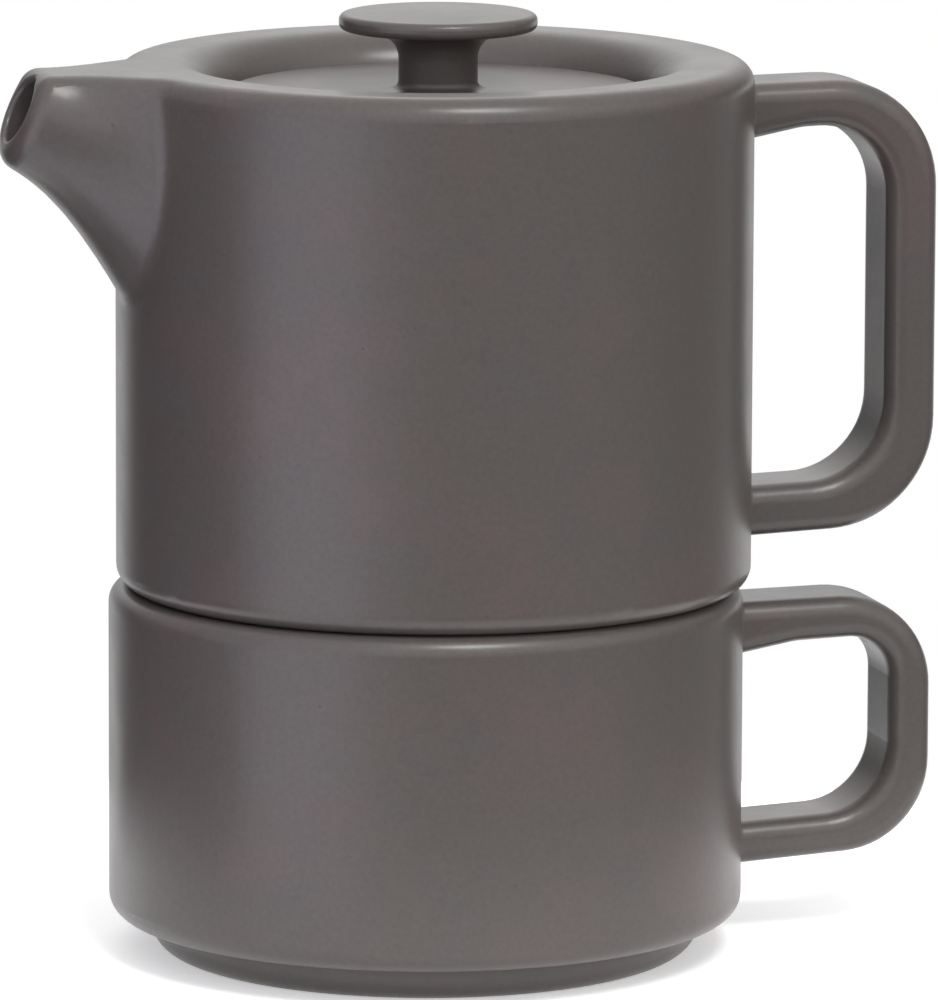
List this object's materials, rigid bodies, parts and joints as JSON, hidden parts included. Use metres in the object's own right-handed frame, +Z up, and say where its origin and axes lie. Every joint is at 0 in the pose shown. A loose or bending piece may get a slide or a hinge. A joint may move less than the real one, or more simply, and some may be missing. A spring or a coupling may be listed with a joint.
{
  "type": "tea for one set",
  "caption": "Matt stoneware teapot with a beak spout, squared loop handle and recessed lid, standing in the mouth of its own stepped-foot cup.",
  "frame": {"origin": "middle of the cup's foot ring, on the surface that the set stands on", "axes": "+Z up along the axis of cup and pot, +X towards both handles, so the spout points to -X"},
  "size_m": [0.1575, 0.1046, 0.1563],
  "materials": {
    "stoneware": "matt glaze"
  },
  "bodies": {
    "root": {"cup": "stoneware", "teapot": "stoneware", "lid": "stoneware"}
  },
  "joints": []
}
